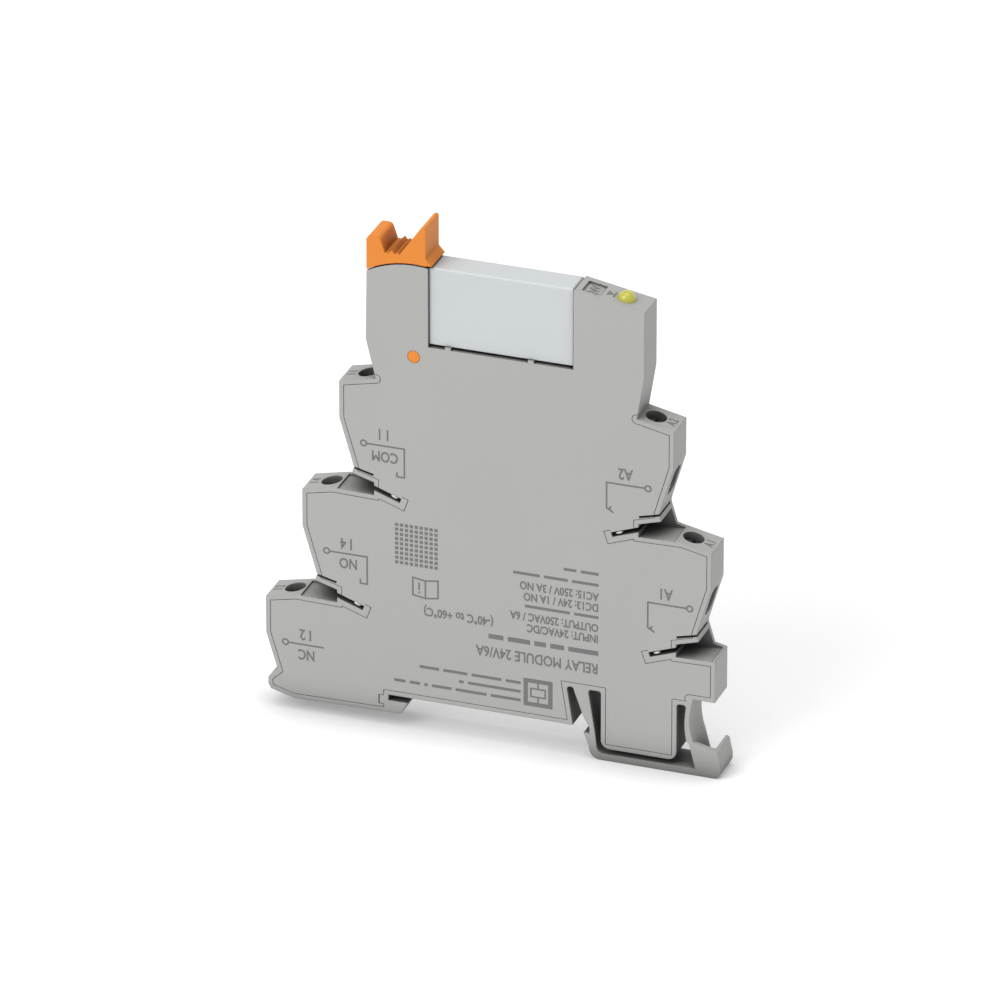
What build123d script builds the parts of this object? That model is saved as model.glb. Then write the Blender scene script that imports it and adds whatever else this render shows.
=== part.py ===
from build123d import *
import os
from math import cos, hypot, radians, sin, sqrt, tan

os.makedirs("parts", exist_ok=True)

# A slim plug-in relay module for a 35 mm mounting rail, in millimetres.
# The origin is the middle of the seat on the rail. +X runs towards the coil terminals,
# +Z away from the rail, and the printed face is at -Y.

# Body sizes
width = 6.2
half = width / 2
wall = 0.8
rim = 0.85
seam_gap = 0.08
fit_gap = 0.05

# Rail seat and hook
rail_width = 35.0
rail_lip = 1.0
rail_play = 0.1
notch_x = rail_width / 2 + rail_play
lip_under = rail_lip + 0.05
hook_reach = 3.4
hook_depth = 3.2
hook_slope = 1.2
seat_end = notch_x - 2.9
seat_top_end = seat_end - 1.1

# Terminal tiers: the lowest left one, the step to the next, and the mirror line
step_x = 6.6
step_z = 20.8
middle_x = 3.0
tier_wall_x = -39.1
tier_wall_low = 8.0
tier_wall_high = 14.6
tier_foot = (-36.6, -0.6)
tier_tilt = 12.1
tier_round = 2.0
shelf_end_x = -31.2
floor_z = -3.5
left_heel = ((-34.2, floor_z), (-38.3, -2.4), (-38.8, -1.6), (-38.8, -0.3), (-37.1, 1.3))
base_right_x = 39.3
base_low_z = 8.3

# Recess for the plug-in bridge under a tier, measured at the lowest left tier
recess = ((-38.5, -1.35), (-33.1, -2.9), (-33.1, -5.25), (-39.5, -5.1))
slit_start = (-37.4, -0.55)
slit_end = (-33.2, -1.6)
slit_gap = 0.4
bridge_start = (-33.6, -3.75)
bridge_end = (-28.5, -5.55)
bridge_gap = 0.85
rim_below = 1.5
rim_beyond = 1.2
rim_before = 1.5

slot_long = hypot(bridge_end[0] - bridge_start[0], bridge_end[1] - bridge_start[1])
slot_up = bridge_gap / 2

# Head with the relay window
head_left_x = -21.2
head_neck_x = -19.5
head_shoulder_z = 64.6
window_left = -10.4
window_right = 14.6
window_floor = 64.7
head_top_z = 78.8
head_right_x = 26.7
head_right_top = 76.6
head_right_low = 65.0
rib_height = 0.45
rib_width = 1.0
rib_places = (-7.0, 7.3)

# Lever
pivot_x = -12.9
pivot_z = 62.6
trunnion_r = 1.05
lever_arc_r = 16.6
head_arc_r = 16.35
lever_bay_half = 2.3
stem_half = 1.7
toe_tip_x = -7.4
toe_play = 0.1
horn_z = pivot_z + lever_arc_r + 6.8
thumb_horn_z = pivot_z + lever_arc_r + 4.0
thumb_horn_x = pivot_x - 5.8
valley_z = pivot_z + lever_arc_r + 1.3
ridge_height = 0.6
nose_reach = 0.6
nose_play = 0.3
horn_tip_wide = 0.7
grip_left = head_left_x + 0.2
grip_play = 0.45
grip_arc_x = pivot_x - 3.0
ridge_steps = ((2.4, 0), (2.8, 0.5), (3.2, 0), (3.7, 1), (4.2, 0), (4.9, 0))
horn_round = 0.3
thumb_round = 0.9
heel_drop = 2.3
lever_heel_round = 1.6
stem_back = (pivot_x - 2.0, pivot_z - 1.2)
stem_front = (pivot_x + 3.3, pivot_z + 0.3)
stem_neck_z = pivot_z + 7.9
stem_inset = 0.8
stem_root = 1.5
toe_thick = 0.8
toe_lead = 0.3
toe_inset = 0.2
toe_shoulder = 0.9
lever_bay_right = pivot_x + 4.0
lever_bay_step = (lever_bay_right, pivot_z - 0.6)
lever_bay_slope = (lever_bay_right - 1.5, pivot_z - 2.9)
lever_bay_floor = (pivot_x - 1.3, pivot_z - 3.1)
lever_bay_mouth_x = head_left_x - 2.8
lever_bay_sill_z = pivot_z + 0.7

# Spring foot
block_left = notch_x + 2.0
block_right = 32.7
block_floor = -3.4
block_round = 1.5
slot_top = 7.0
bar_top = -4.4
bar_floor = -5.6
leg_left = notch_x - 2.7
leg_right = notch_x - 0.2
leg_foot = notch_x + 0.8
strut_left = 34.4
strut_right = 35.6
strut_waist = 0.65
strut_foot_z = 0.4
heel_round = 2.0
tail_round = 1.3
slot_round = 0.5
weld = 0.1
claw_reach = 1.0
claw_slope = 1.1
leg_root = 0.5
leg_shoulder = 0.6
leg_knee = leg_foot + 0.2
leg_ankle = leg_foot - 0.9
heel_outer = leg_foot - 0.7
heel_inner = leg_foot + 0.6
heel_inner_round = 1.2
strut_flare = 0.5
strut_ankle = strut_right - 0.7
strut_toe = strut_right + 0.4
tab_right = 40.4
tail_lean = 0.6
tail_drop = 1.1
tab_floor_left = 36.6
tab_floor_z = -3.4

# Clamp screws, cages and current bars, along the screw axis from the tier's top
screw_x = -35.0
head_drop = 1.3
screw_head_r = 1.65
screw_head_h = 1.9
drive_deep = 0.9
drive_wide = 0.6
screw_hole_r = 1.8
shank_r = 1.4
thread_gap = 0.05
bar_depth = 8.0
bar_thick = 0.8
bar_half = 1.3
cage_half_y = 2.2
cage_half_x = 2.3
cage_wall = 0.6
cage_top_h = 2.0
cage_drop = 5.8
cage_room = 3.2
cage_floor_h = 0.9
cage_travel = 2.0
chamber_play = 0.15
bend_r = 1.0
channel_gap = 0.3
funnel_long = 6.2
funnel_wide = 3.6
funnel_throat = 3.2
funnel_level = 4.4
funnel_round = 1.2
funnel_deep = 4.6
funnel_out = 0.4
funnel_drop = 0.1
tip_play = 0.03

# Relay; the heights inside it are shares of the room under its top
relay_left = -10.3
relay_right = 14.4
relay_floor = 65.2
relay_top = 78.9
relay_thick = 5.3
case_wall = 0.35
case_chamfer = 0.25
base_h = 1.0
pin_floor = 60.2
pin_thick = 0.5
pin_half = 0.6
pin_fit = 0.04
pin_rise = 0.3
contact_pins = (-6.0, -3.2, -0.4)
coil_pins = (6.0, 11.0)

# Armature and coil
relay_room = relay_top - relay_floor
coil_z = relay_floor + 0.336 * relay_room
coil_left = 2.9
coil_right = 12.9
flange_h = 0.234 * relay_room
flange_half = 2.2
flange_t = 0.6
core_fit = 0.03
winding_fit = 0.02
winding_h = 0.197 * relay_room
winding_half = 2.0
tube_h = 0.139 * relay_room
tube_half = 1.4
core_r = 0.066 * relay_room
pole_r = 0.124 * relay_room
pole_t = 0.38
yoke_t = 0.8
yoke_half = 1.9
yoke_play = 0.1
yoke_lap = 0.2
yoke_low = relay_floor + 0.131 * relay_room
yoke_z = relay_floor + 0.584 * relay_room
pole_gap = 0.35
armature_t = 0.7
armature_half = 1.8
armature_low = relay_floor + 0.146 * relay_room
armature_top = relay_floor + 0.92 * relay_room
card_low = relay_floor + 0.847 * relay_room
card_deep = 1.2
spring_t = 0.25
spring_top = relay_floor + 0.934 * relay_room
lean_low = relay_floor + 0.526 * relay_room
lean_high = relay_floor + 0.686 * relay_room
contact_top = relay_floor + 0.89 * relay_room
rivet_r = 0.051 * relay_room
rivet_z = relay_floor + 0.8175 * relay_room

# Socket and circuit board
socket_left = -7.2
socket_right = 13.6
socket_floor = 57.0
socket_top = window_floor - 0.15
socket_play = 1.8
socket_sink = 1.0
board_front = 1.5
board_back = 2.3
guide_x = 22.6
guide_r = 1.3
guide_long = 4.0
dome_r = 1.5
dome_sink = 0.1
dome_lift = 0.01
guide_lap = 0.4
roof = 1.0
board_play = 0.4
board_gap = 0.2
board_left = 1.0
board_low = 14.0
board_edge_x = 19.4
board_neck_z = 56.4
board_head_left = 16.4
board_head_right = 25.3
board_step = (board_edge_x, board_neck_z + 1.1)
board_slope = (board_head_right - 0.7, board_neck_z + 3.1)
board_chest = (board_head_right, head_right_low + 0.4)
light_bay_left = 15.9
light_bay_right = 25.9
light_bay_slope = (board_head_right - 0.1, board_neck_z + 2.2)
light_bay_chest = (light_bay_right, head_right_low + 0.2)
room_left = -13.5
room_floor = 8.6
bay_top = max(head_top_z, head_right_top) + 1.2
mark_left = window_right + 1.0
mark_right = mark_left + 3.2
mark_depth = 0.4
mark_half = 1.9


def at(level, x, z, side=-1):
    """A point of the lowest left tier, carried up by whole steps; side +1 mirrors it."""
    left_x = x + step_x * level
    return (left_x if side < 0 else 2 * middle_x - left_x, z + step_z * level)


def tier_top(x):
    """Height of the lowest tier's sloping top above a given X."""
    return tier_wall_high + (x - tier_wall_x) * tan(radians(tier_tilt))


def facing(y):
    """A plane that looks to the printed side, at the given Y."""
    return Plane.XZ.offset(-y)


def outline(points, y):
    """A closed outline in X and Z, drawn at the given Y."""
    with BuildSketch(facing(y)) as drawn:
        with BuildLine():
            Polyline(*points, close=True)
        make_face()
    return drawn.sketch


def block(x1, x2, z1, z2, y):
    """A rectangle in X and Z, drawn at the given Y."""
    return outline([(x1, z1), (x2, z1), (x2, z2), (x1, z2)], y)


def strip(points, thick, y):
    """A bent strip seen on edge: its middle line, with rounded bends."""
    with BuildSketch(facing(y)) as drawn:
        with BuildLine() as line:
            if len(points) > 2:
                FilletPolyline(*points, radius=bend_r)
            else:
                Line(*points)
        trace(line.line, line_width=thick)
    return drawn.sketch


# Terminals: name, level and side
terminals = {"11": (2, -1), "14": (1, -1), "12": (0, -1), "a2": (2, 1), "a1": (1, 1)}
bridged = ("11", "14", "a2", "a1")


def screw_plane(name, depth=0.0):
    """Plane across a clamp screw, depth below the tier's top; its X points inwards."""
    level, side = terminals[name]
    x, z = at(level, screw_x, tier_top(screw_x), side)
    lean, rise = sin(radians(tier_tilt)), cos(radians(tier_tilt))
    down = Vector(-side * lean, 0, -rise) * depth
    return Plane(Vector(x, 0, z) + down, x_dir=(-side * rise, 0, lean), z_dir=(side * lean, 0, rise))


def inside(name, u, depth):
    """X and Z of a point u inwards from a screw's axis, at a depth."""
    spot = screw_plane(name, depth).from_local_coords(Vector(u, 0, 0))
    return (spot.X, spot.Z)


# Outlines
def tier_edge(level, side):
    """Outer edge of one raised tier, from its foot up to the inner end of its top."""
    end_x = head_neck_x - 2 * step_x if level == 2 else shelf_end_x
    return [
        at(level, *tier_foot, side),
        at(level, tier_wall_x, tier_wall_low, side),
        at(level, tier_wall_x, tier_wall_high, side),
        at(level, end_x, tier_top(end_x), side),
    ]


hook_tip = (-notch_x + hook_reach, -lip_under)
lowest = [
    (-notch_x, 0),
    (-notch_x, -lip_under),
    hook_tip,
    (hook_tip[0] - hook_slope, -hook_depth),
    *left_heel,
    (tier_wall_x, tier_wall_low),
    (tier_wall_x, tier_wall_high),
    (shelf_end_x, tier_top(shelf_end_x)),
]
left_edge = lowest + tier_edge(1, -1) + tier_edge(2, -1)
right_edge = tier_edge(2, 1)[::-1] + tier_edge(1, 1)[::-1]
base_edge = [
    at(0, shelf_end_x, tier_top(shelf_end_x), 1),
    (base_right_x, tier_top(2 * middle_x - base_right_x)),
    (base_right_x, base_low_z),
    (strut_left + strut_flare, base_low_z),
    (strut_left, slot_top),
    (block_right, slot_top),
    (block_right, block_floor),
    (block_left, block_floor),
    (block_left, slot_top),
    (seat_top_end, slot_top),
    (seat_end, 0),
]


def on_arc(x, radius):
    """The point at a given X on an arc round the lever's pivot."""
    return (x, pivot_z + sqrt(radius**2 - (x - pivot_x) ** 2))


def head_slope(x):
    """Height of the head's sloping top above a given X."""
    share = (x - window_right) / (head_right_x - window_right)
    return head_top_z + share * (head_right_top - head_top_z)


def body_face(y):
    """The module's outline without its spring foot."""
    arc_start = on_arc(grip_left, head_arc_r)
    arc_end = on_arc(window_left, head_arc_r)
    with BuildSketch(facing(y)) as drawn:
        with BuildLine():
            Polyline(*left_edge, (head_left_x, head_shoulder_z), arc_start)
            ThreePointArc(arc_start, on_arc(pivot_x, head_arc_r), arc_end)
            Polyline(
                arc_end,
                (window_left, window_floor),
                (window_right, window_floor),
                (window_right, head_top_z),
                (head_right_x, head_right_top),
                (head_right_x, head_right_low),
                *right_edge,
                *base_edge,
                left_edge[0],
            )
        make_face()
        feet = [at(1, *tier_foot), at(2, *tier_foot), at(1, *tier_foot, 1), at(2, *tier_foot, 1)]
        corners = [v for v in vertices() if any(near(v, foot) for foot in feet)]
        fillet(corners, tier_round)
        block_feet = [(block_left, block_floor), (block_right, block_floor)]
        fillet([v for v in vertices() if any(near(v, foot) for foot in block_feet)], block_round)
    return drawn.sketch


def near(vertex, spot):
    """Whether a sketch corner lies at the given X and Z."""
    return abs(vertex.X - spot[0]) < 0.01 and abs(vertex.Y - spot[1]) < 0.01


def bridge_face(y, level, side):
    """Recess, slot and slit for a plug-in bridge under one tier."""
    slot_line = [at(level, *bridge_start, side), at(level, *bridge_end, side)]
    slit_line = [at(level, *slit_start, side), at(level, *slit_end, side)]
    with BuildSketch(facing(y)) as drawn:
        with BuildLine():
            Polyline(*[at(level, x, z, side) for x, z in recess], close=True)
        make_face()
        with BuildLine() as slot_way:
            Line(*slot_line)
        trace(slot_way.line, line_width=bridge_gap)
        with BuildLine() as slit_way:
            Line(*slit_line)
        trace(slit_way.line, line_width=slit_gap)
    return drawn.sketch


def foot_face(y):
    """Spring leg with its claw, the bar, the tab and the strut back up to the base."""
    claw = (notch_x - claw_reach, -lip_under)
    heel_left, heel_right = (heel_outer, bar_floor), (heel_inner, bar_top)
    tail_heel = (tab_right, bar_floor)
    tail_tip = (tab_right - tail_lean, strut_foot_z - tail_drop)
    waist_z = (slot_top + strut_foot_z) / 2
    with BuildSketch(facing(y)) as drawn:
        with BuildLine():
            Polyline((strut_left, slot_top), (strut_left, base_low_z + weld))
            Line((strut_left, base_low_z + weld), (strut_right, base_low_z + weld))
            ThreePointArc(
                (strut_right, base_low_z + weld),
                (strut_right - strut_waist, waist_z),
                (strut_right, strut_foot_z),
            )
            Polyline(
                (strut_right, strut_foot_z),
                tail_tip,
                (tab_right, tab_floor_z),
                tail_heel,
                heel_left,
                (leg_ankle, block_floor),
                claw,
                (notch_x, -lip_under),
                (notch_x, 0),
                (notch_x - claw_slope, 2 * rail_lip),
                (leg_left, slot_top - leg_shoulder),
                (leg_left, slot_top + leg_root),
                (leg_right, slot_top + leg_root),
                (leg_right, slot_top - leg_shoulder),
                (leg_knee, -rail_lip),
                heel_right,
                (strut_toe, bar_top),
                (strut_ankle, 0),
                (strut_left, strut_foot_z),
            )
            ThreePointArc(
                (strut_left, strut_foot_z),
                (strut_left - strut_waist / 2, waist_z),
                (strut_left, slot_top),
            )
        make_face()
        fillet([v for v in vertices() if near(v, tail_heel)], tail_round)
        fillet([v for v in vertices() if near(v, heel_left)], heel_round)
        fillet([v for v in vertices() if near(v, heel_right)], heel_inner_round)
    return drawn.sketch


def over_slot(spot, ends):
    """Whether a place is a corner at the top of a slot beside the leg or the strut."""
    return abs(spot.Z - slot_top) < 0.01 and any(abs(spot.X - end) < 0.01 for end in ends)


def flat(sketch):
    """A drawn outline laid back on the sketch's own plane."""
    return facing(0).to_local_coords(sketch)


def along_slot(run, rise):
    """A point by the bridge slot of the lowest tier: along its middle line, and above it."""
    dx, dz = bridge_end[0] - bridge_start[0], bridge_end[1] - bridge_start[1]
    ux, uz = dx / slot_long, dz / slot_long
    return (bridge_start[0] + run * ux - rise * uz, bridge_start[1] + run * uz + rise * ux)


def rim_face(y, inset):
    """The edge of the body that the cover plate leaves bare."""
    seams = (
        left_edge[2:],
        right_edge + base_edge[:4],
        base_edge[4:],
        [base_edge[-1], *left_edge[:3]],
    )
    with BuildSketch(facing(y)) as drawn:
        for points in seams:
            with BuildLine() as run:
                Polyline(*points)
            trace(run.line, line_width=2 * inset)
            with Locations(*points):
                Circle(inset)
        for name in bridged:
            level, side = terminals[name]
            spare = inset - rim
            ends = (-rim_before, slot_long + rim_beyond + spare)
            band = [(ends[0], slot_up), (slot_long, slot_up), (slot_long, inset), (ends[1], inset)]
            band += [(ends[1], -rim_below - spare), (ends[0], -rim_below - spare)]
            with BuildLine():
                Polyline(*[at(level, *along_slot(*spot), side) for spot in band], close=True)
            make_face()
            with BuildLine() as mouth_run:
                Polyline(*[at(level, x, z, side) for x, z in recess], close=True)
            make_face()
            trace(mouth_run.line, line_width=2 * inset)
            with BuildLine() as slit_run:
                Line(at(level, *slit_start, side), at(level, *slit_end, side))
            trace(slit_run.line, line_width=slit_gap + 2 * spare)
    return drawn.sketch


def cover_face(y, gap=0.0):
    """Cover plate: inset by the rim round the terminals and the base, full size on the head."""
    with BuildSketch(facing(y)) as drawn:
        add(flat(body_face(y)))
        add(flat(rim_face(y, rim + gap)), mode=Mode.SUBTRACT)
    return drawn.sketch.faces().sort_by(SortBy.AREA)[-1]


# Current bars: the stretch through the cage, the tongue to the bridge slot, the riser
bar_middle = bar_depth + bar_thick / 2
bar_inner = 3.6
tongue_turn = 13.6
tongue_reach = 2.1
tongue_foot = (-29.6, -4.95)
tongue_in = bar_inner - 0.4
clamp_lead = 0.1
com_pin_x, no_pin_x, nc_pin_x = contact_pins[1], contact_pins[0], contact_pins[2]
com_level, no_level, nc_level = 50.6, 30.0, 10.6
a2_level, a1_level = 49.6, 29.6
upper_turn_x, lower_turn_x, coil_bar_x = -12.0, -22.0, 18.6
riser_far, riser_near, riser_half = 2.2, 0.3, 1.0


def clamp_way(name):
    """Middle line of a bar through its cage."""
    return [inside(name, clamp_lead - cage_half_x, bar_middle), inside(name, bar_inner, bar_middle)]


def tongue_way(name):
    """Middle line of the tongue from a bar down to its bridge slot."""
    level, side = terminals[name]
    start = inside(name, tongue_in, bar_middle)
    return [start, inside(name, tongue_in, tongue_turn), at(level, *tongue_foot, side)]


def riser_way(name, *points):
    """Middle line of a bar from its clamp to the socket or the circuit board."""
    return [inside(name, bar_inner, bar_middle), *points]


risers = {
    "11": riser_way("11", (upper_turn_x, com_level), (com_pin_x, com_level), (com_pin_x, socket_floor)),
    "14": riser_way("14", (upper_turn_x, no_level), (no_pin_x, no_level), (no_pin_x, socket_floor)),
    "12": riser_way("12", (lower_turn_x, nc_level), (nc_pin_x, nc_level), (nc_pin_x, socket_floor)),
    "a2": riser_way("a2", (coil_bar_x, a2_level)),
    "a1": riser_way("a1", (coil_bar_x, a1_level)),
}
riser_sides = {
    "11": (riser_far, riser_near),
    "14": (-riser_near, -riser_far),
    "12": (riser_half, -riser_half),
    "a2": (board_front, -bar_half),
    "a1": (board_front, -bar_half),
}
cage_low = bar_depth + bar_thick + cage_room + cage_floor_h
peg_places = [(-24.0, 1.0), (26.0, 2.0), (-15.6, 33.2), (21.7, 33.2)]
peg_r = 0.8
peg_long = 3.4
peg_sink = 1.0
on_base = (Align.CENTER, Align.CENTER, Align.MIN)
inner = lever_bay_half


def inner_face(y):
    """Everything that is hollow over the full depth between the two side walls."""
    light_bay = [
        (light_bay_left, board_neck_z - board_play),
        light_bay_slope,
        light_bay_chest,
        (light_bay_right, head_slope(light_bay_right) - roof),
        (light_bay_left, head_slope(light_bay_left) - roof),
    ]
    lever_bay = [
        (lever_bay_right, bay_top),
        lever_bay_step,
        lever_bay_slope,
        lever_bay_floor,
        (lever_bay_mouth_x, lever_bay_sill_z),
        (lever_bay_mouth_x, bay_top),
    ]
    main_room = (room_left, board_edge_x + board_play, room_floor, socket_floor)
    socket_room = (socket_left - socket_play, window_right, socket_floor - socket_sink, bay_top)
    with BuildSketch(facing(y)) as drawn:
        for room in (light_bay, lever_bay):
            with BuildLine():
                Polyline(*room, close=True)
            make_face()
        for x1, x2, z1, z2 in (main_room, socket_room):
            with Locations(((x1 + x2) / 2, (z1 + z2) / 2)):
                Rectangle(x2 - x1, z2 - z1)
        for name in terminals:
            add(flat(strip(risers[name], bar_thick + 2 * channel_gap, 0)))
    return drawn.sketch


def channels(ways, y):
    """Channels round bars that run along the given middle lines."""
    with BuildSketch(facing(y)) as drawn:
        for way in ways:
            add(flat(strip(way, bar_thick + 2 * channel_gap, 0)))
    return drawn.sketch


def funnel_ends(name):
    """Wide and narrow end of a terminal's wire funnel."""
    level, side = terminals[name]
    mouth_x, mouth_z = at(level, tier_wall_x - funnel_out, funnel_level - funnel_drop, side)
    lean, rise = side * cos(radians(tier_tilt)), -sin(radians(tier_tilt))
    outer = Plane((mouth_x, 0, mouth_z), x_dir=(0, 1, 0), z_dir=(lean, 0, rise))
    with BuildSketch(outer) as wide_end:
        RectangleRounded(funnel_wide, funnel_long, funnel_round)
    with BuildSketch(outer.offset(-funnel_deep)) as narrow_end:
        RectangleRounded(funnel_throat, cage_room, funnel_round)
    return [wide_end.sketch, narrow_end.sketch]


# Housing tray with its spring foot, moulded in one
with BuildPart() as housing:
    extrude(body_face(half), amount=width)
    extrude(foot_face(half), amount=width)
    slot_ends = (seat_top_end, leg_left, leg_right, block_left, block_right, strut_left)
    fillet([e for e in edges().filter_by(Axis.Y) if over_slot(e.center(), slot_ends)], slot_round)
    extrude(cover_face(-half + wall, -seam_gap), amount=wall, mode=Mode.SUBTRACT)
    for name in bridged:
        extrude(bridge_face(half - wall, *terminals[name]), amount=width, mode=Mode.SUBTRACT)
    extrude(inner_face(inner), amount=2 * inner, mode=Mode.SUBTRACT)
    deep = bar_half + channel_gap
    clamp_ways = [clamp_way(name) for name in terminals]
    tongue_ways = [tongue_way(name) for name in bridged]
    extrude(channels(clamp_ways, deep), amount=2 * deep, mode=Mode.SUBTRACT)
    extrude(channels(tongue_ways, deep), amount=deep + inner, mode=Mode.SUBTRACT)
    # Clamp chambers, screw holes and wire funnels
    chamber_low = cage_low + chamber_play
    with Locations(*[screw_plane(name, chamber_low).location for name in terminals]):
        Box(
            2 * (cage_half_x + chamber_play),
            2 * inner,
            chamber_low - cage_drop + cage_travel + chamber_play,
            align=on_base,
            mode=Mode.SUBTRACT,
        )
    with Locations(*[screw_plane(name, bar_depth).location for name in terminals]):
        Cylinder(screw_hole_r, 1.5 * bar_depth, align=on_base, mode=Mode.SUBTRACT)
    for name in terminals:
        loft(funnel_ends(name), mode=Mode.SUBTRACT)
    # Lever bearing, light guide hole, marking recess, screwdriver pocket and peg holes
    with Locations(Plane((pivot_x, half, pivot_z), z_dir=(0, 1, 0)).location):
        Cylinder(trunnion_r + fit_gap, 4 * wall, mode=Mode.SUBTRACT)
    with Locations((guide_x, 0, head_slope(guide_x) - guide_long)):
        Cylinder(guide_r + fit_gap, 2 * guide_long, align=on_base, mode=Mode.SUBTRACT)
    marking = [
        (mark_left, bay_top),
        (mark_left, head_slope(mark_left) - mark_depth),
        (mark_right, head_slope(mark_right) - mark_depth),
        (mark_right, bay_top),
    ]
    extrude(outline(marking, mark_half), amount=2 * mark_half, mode=Mode.SUBTRACT)
    pocket = [
        (strut_right, strut_foot_z),
        (tab_floor_left, tab_floor_z),
        (tab_right - wall, tab_floor_z),
        (tab_right - 1.6 * wall, -0.8 * rail_lip),
        (tab_right - wall, strut_foot_z),
    ]
    extrude(outline(pocket, half), amount=width - wall, mode=Mode.SUBTRACT)
    peg_holes = [Plane((x, inner - peg_sink, z), z_dir=(0, -1, 0)).location for x, z in peg_places]
    with Locations(*peg_holes):
        Cylinder(peg_r + fit_gap, 1.5 * width, align=on_base, mode=Mode.SUBTRACT)

# Cover plate with its pegs and the two ribs under the relay
with BuildPart() as side_cover:
    extrude(cover_face(-half + wall), amount=wall)
    with Locations(Plane((pivot_x, -half, pivot_z), z_dir=(0, 1, 0)).location):
        Cylinder(trunnion_r + fit_gap, 4 * wall, mode=Mode.SUBTRACT)
    with Locations(*[(x, -half + wall / 2, window_floor) for x in rib_places]):
        Box(rib_width, wall, rib_height, align=on_base)
    with Locations(*[Plane((x, -inner, z), z_dir=(0, 1, 0)).location for x, z in peg_places]):
        Cylinder(peg_r, peg_long, align=on_base)

# Locking and ejecting lever: grip, stem, toe and trunnions
grip_right = relay_left - grip_play
with BuildPart() as lever:
    grip_start = on_arc(grip_left, lever_arc_r)
    grip_end = on_arc(grip_right, lever_arc_r)
    horn_corners = [(grip_right, horn_z), (grip_right - horn_tip_wide, horn_z)]
    thumb_corners = [(thumb_horn_x, thumb_horn_z), (grip_left, thumb_horn_z)]
    nose_x, nose_z = relay_left + nose_reach, relay_top + nose_play
    ridges = [(pivot_x - back, valley_z + rise * ridge_height) for back, rise in ridge_steps]
    with BuildSketch(facing(half)) as grip:
        with BuildLine():
            Polyline(
                grip_end,
                (grip_right, nose_z),
                (nose_x, nose_z),
                (grip_right, nose_z + 2 * nose_reach),
                *horn_corners,
                *ridges,
                *thumb_corners,
                grip_start,
            )
            ThreePointArc(grip_start, on_arc(grip_arc_x, lever_arc_r), grip_end)
        make_face()
        fillet([v for v in vertices() if any(near(v, spot) for spot in horn_corners)], horn_round)
        fillet([v for v in vertices() if any(near(v, spot) for spot in thumb_corners)], thumb_round)
    extrude(amount=width)
    toe_top = relay_floor - toe_play
    heel = (pivot_x, pivot_z - heel_drop)
    with BuildSketch(facing(stem_half)) as stem:
        with BuildLine():
            Polyline(
                stem_back,
                heel,
                stem_front,
                (toe_tip_x, toe_top - toe_thick),
                (toe_tip_x, toe_top),
                (relay_left - toe_lead, toe_top),
                (grip_right - toe_inset, toe_top + toe_shoulder),
                (grip_right - toe_inset, grip_end[1] + toe_shoulder),
                (grip_left + stem_inset, grip_start[1] + stem_root),
                (grip_left + stem_inset, stem_neck_z),
                close=True,
            )
        make_face()
        fillet([v for v in vertices() if near(v, heel)], lever_heel_round)
    extrude(amount=2 * stem_half)
    with Locations(Plane((pivot_x, 0, pivot_z), z_dir=(0, 1, 0)).location):
        Cylinder(trunnion_r, width)

# Light guide with its domed head on the sloping top
with BuildPart() as light_guide:
    seat_z = head_slope(guide_x)
    lean = (head_top_z - head_right_top) / (head_right_x - window_right)
    with Locations((guide_x, 0, seat_z - dome_sink)):
        Sphere(dome_r)
    split(bisect_by=Plane((guide_x, 0, seat_z + dome_lift), z_dir=(lean, 0, 1)), keep=Keep.TOP)
    with Locations((guide_x, 0, seat_z - guide_long)):
        Cylinder(guide_r, guide_long + guide_lap, align=on_base)

# Circuit board and what is soldered to it
board_top = seat_z - guide_long - board_gap
with BuildPart() as circuit_board:
    edge = [
        (board_left, board_low),
        (board_edge_x, board_low),
        board_step,
        board_slope,
        board_chest,
        (board_head_right, board_top),
        (board_head_left, board_top),
        (board_head_left, board_neck_z),
        (board_left, board_neck_z),
    ]
    extrude(outline(edge, board_back), amount=board_back - board_front)


chip_chamfer = 0.15


def chip(x, z, long, high, thick):
    """A part standing on the board's front, placed from the board's low left corner."""
    with BuildPart() as body:
        with Locations((board_left + x, board_front, board_low + z)):
            Box(long, thick, high, align=(Align.CENTER, Align.MAX, Align.CENTER))
        chamfer(body.faces().sort_by(Axis.Y)[0].edges(), min(long, high, thick) * chip_chamfer)
    return body


indicator = chip(guide_x - board_left, board_top - board_low - 1.0, 2.0, 1.6, 2.2)
rectifier = chip(9.4, 32.0, 4.6, 4.0, 1.6)
capacitor = chip(5.4, 22.0, 3.2, 2.5, 2.5)
flyback_diode = chip(11.0, 22.0, 4.3, 2.6, 2.2)
series_resistor = chip(13.6, 32.0, 1.6, 3.2, 0.6)
shunt_resistor = chip(14.6, 10.0, 1.6, 3.2, 0.6)


def clamp_cage(name):
    """Rising cage of a screw clamp, at its lowest place."""
    high = cage_low - cage_drop
    with BuildPart() as cage:
        with Locations(screw_plane(name, cage_low).location):
            Box(2 * cage_half_x, 2 * cage_half_y, high, align=on_base)
        window_h = high - cage_top_h - cage_floor_h
        with Locations(screw_plane(name, cage_low - cage_floor_h).location):
            window_y = 2 * (cage_half_y - cage_wall)
            Box(3 * cage_half_x, window_y, window_h, align=on_base, mode=Mode.SUBTRACT)
            Cylinder(shank_r + thread_gap, 2 * high, align=on_base, mode=Mode.SUBTRACT)
    return cage


def clamp_screw(name):
    """Slotted screw whose tip bears on the current bar."""
    with BuildPart() as screw:
        tip_depth = bar_depth - tip_play
        with Locations(screw_plane(name, tip_depth).location):
            Cylinder(shank_r, tip_depth - head_drop, align=on_base)
        with Locations(screw_plane(name, head_drop + screw_head_h).location):
            Cylinder(screw_head_r, screw_head_h, align=on_base)
        with Locations(screw_plane(name, head_drop + drive_deep).location):
            Box(drive_wide, 3 * screw_head_r, 2 * drive_deep, align=on_base, mode=Mode.SUBTRACT)
    return screw


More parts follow.
